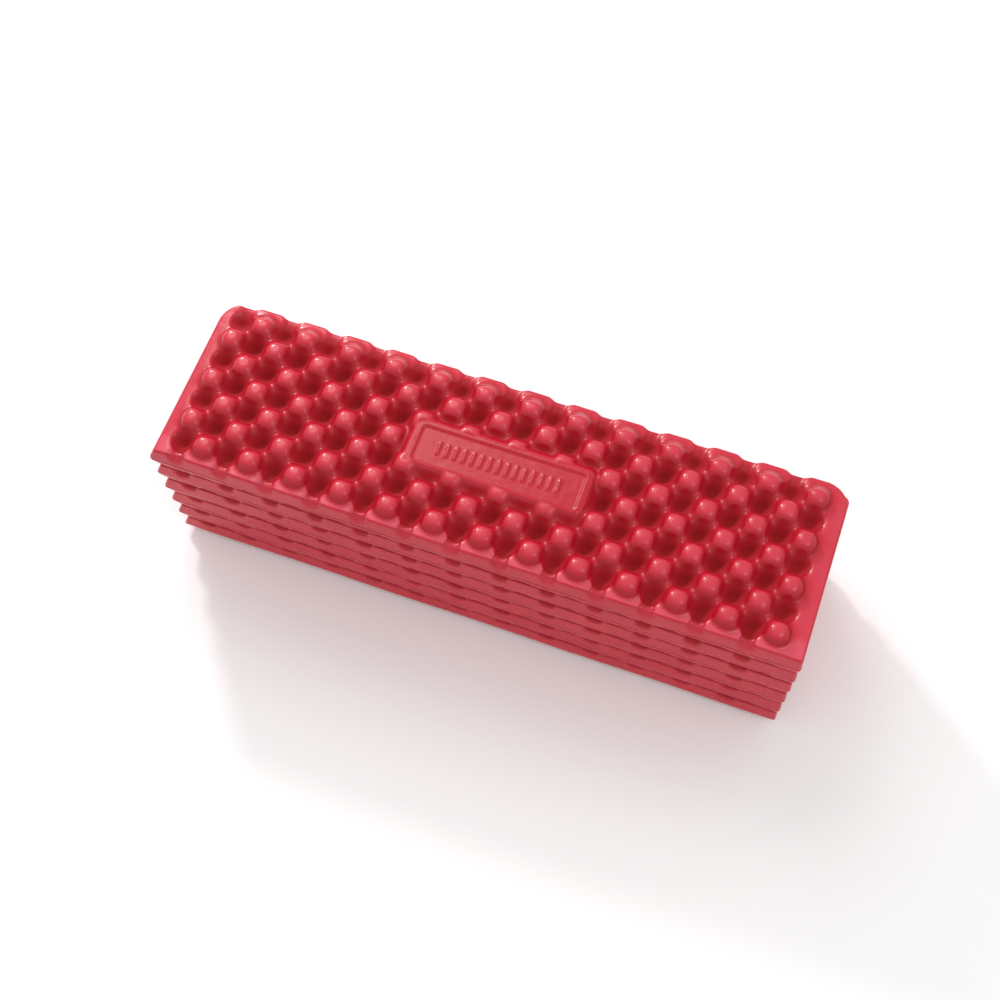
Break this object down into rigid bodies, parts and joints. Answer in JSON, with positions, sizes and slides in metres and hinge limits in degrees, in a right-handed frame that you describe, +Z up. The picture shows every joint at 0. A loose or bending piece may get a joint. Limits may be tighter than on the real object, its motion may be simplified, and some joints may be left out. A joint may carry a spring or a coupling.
{
  "type": "foam sleeping pad",
  "caption": "Closed-cell foam sleeping pad with egg-crate relief, folded like an accordion into a block; every panel swings open on a crease to lie flat.",
  "frame": {"origin": "centre of the folded pad's footprint, at ground level under the bottom panel's bumps", "axes": "+X along the creases, the pad's width; -Y the front, where the full folds show; +Z up"},
  "size_m": [0.5, 0.1434, 0.1491],
  "materials": {
    "pad_foam": "semi-gloss moulded foam skin",
    "crease_foam": "foam crushed thin along the fold"
  },
  "bodies": {
    "panel_01": {"panel_01": "pad_foam"},
    "panel_02": {"panel_02": "pad_foam", "crease_01": "crease_foam"},
    "panel_03": {"panel_03": "pad_foam", "crease_02": "crease_foam"},
    "panel_04": {"panel_04": "pad_foam", "crease_03": "crease_foam"},
    "panel_05": {"panel_05": "pad_foam", "crease_04": "crease_foam"},
    "panel_06": {"panel_06": "pad_foam", "crease_05": "crease_foam"},
    "panel_07": {"panel_07": "pad_foam", "crease_06": "crease_foam"},
    "panel_08": {"panel_08": "pad_foam", "crease_07": "crease_foam"},
    "panel_09": {"panel_09": "pad_foam", "crease_08": "crease_foam"},
    "panel_10": {"panel_10": "pad_foam", "crease_09": "crease_foam"},
    "panel_11": {"panel_11": "pad_foam", "crease_10": "crease_foam"}
  },
  "joints": [
    {"name": "crease_01_fold", "type": "hinge", "parent": "panel_02", "child": "panel_01", "pos_m": [0, -0.07185, 0.12915], "axis": [1, 0, 0], "range_deg": [0, 180]},
    {"name": "crease_02_fold", "type": "hinge", "parent": "panel_03", "child": "panel_02", "pos_m": [0, 0.07185, 0.11702], "axis": [-1, 0, 0], "range_deg": [0, 180]},
    {"name": "crease_03_fold", "type": "hinge", "parent": "panel_04", "child": "panel_03", "pos_m": [0, -0.07185, 0.10489], "axis": [1, 0, 0], "range_deg": [0, 180]},
    {"name": "crease_04_fold", "type": "hinge", "parent": "panel_05", "child": "panel_04", "pos_m": [0, 0.07185, 0.09276], "axis": [-1, 0, 0], "range_deg": [0, 180]},
    {"name": "crease_05_fold", "type": "hinge", "parent": "panel_06", "child": "panel_05", "pos_m": [0, -0.07185, 0.08063], "axis": [1, 0, 0], "range_deg": [0, 180]},
    {"name": "crease_06_fold", "type": "hinge", "parent": "panel_07", "child": "panel_06", "pos_m": [0, 0.07185, 0.0685], "axis": [-1, 0, 0], "range_deg": [0, 180]},
    {"name": "crease_07_fold", "type": "hinge", "parent": "panel_08", "child": "panel_07", "pos_m": [0, -0.07185, 0.05637], "axis": [1, 0, 0], "range_deg": [0, 180]},
    {"name": "crease_08_fold", "type": "hinge", "parent": "panel_09", "child": "panel_08", "pos_m": [0, 0.07185, 0.04424], "axis": [-1, 0, 0], "range_deg": [0, 180]},
    {"name": "crease_09_fold", "type": "hinge", "parent": "panel_10", "child": "panel_09", "pos_m": [0, -0.07185, 0.03211], "axis": [1, 0, 0], "range_deg": [0, 180]},
    {"name": "crease_10_fold", "type": "hinge", "parent": "panel_11", "child": "panel_10", "pos_m": [0, 0.07185, 0.01998], "axis": [-1, 0, 0], "range_deg": [0, 180]}
  ],
  "couplings": [
    {"joint": "crease_05_fold", "follows": "crease_10_fold", "ratio": 1},
    {"joint": "crease_06_fold", "follows": "crease_10_fold", "ratio": 1},
    {"joint": "crease_07_fold", "follows": "crease_10_fold", "ratio": 1},
    {"joint": "crease_08_fold", "follows": "crease_10_fold", "ratio": 1},
    {"joint": "crease_09_fold", "follows": "crease_10_fold", "ratio": 1}
  ]
}
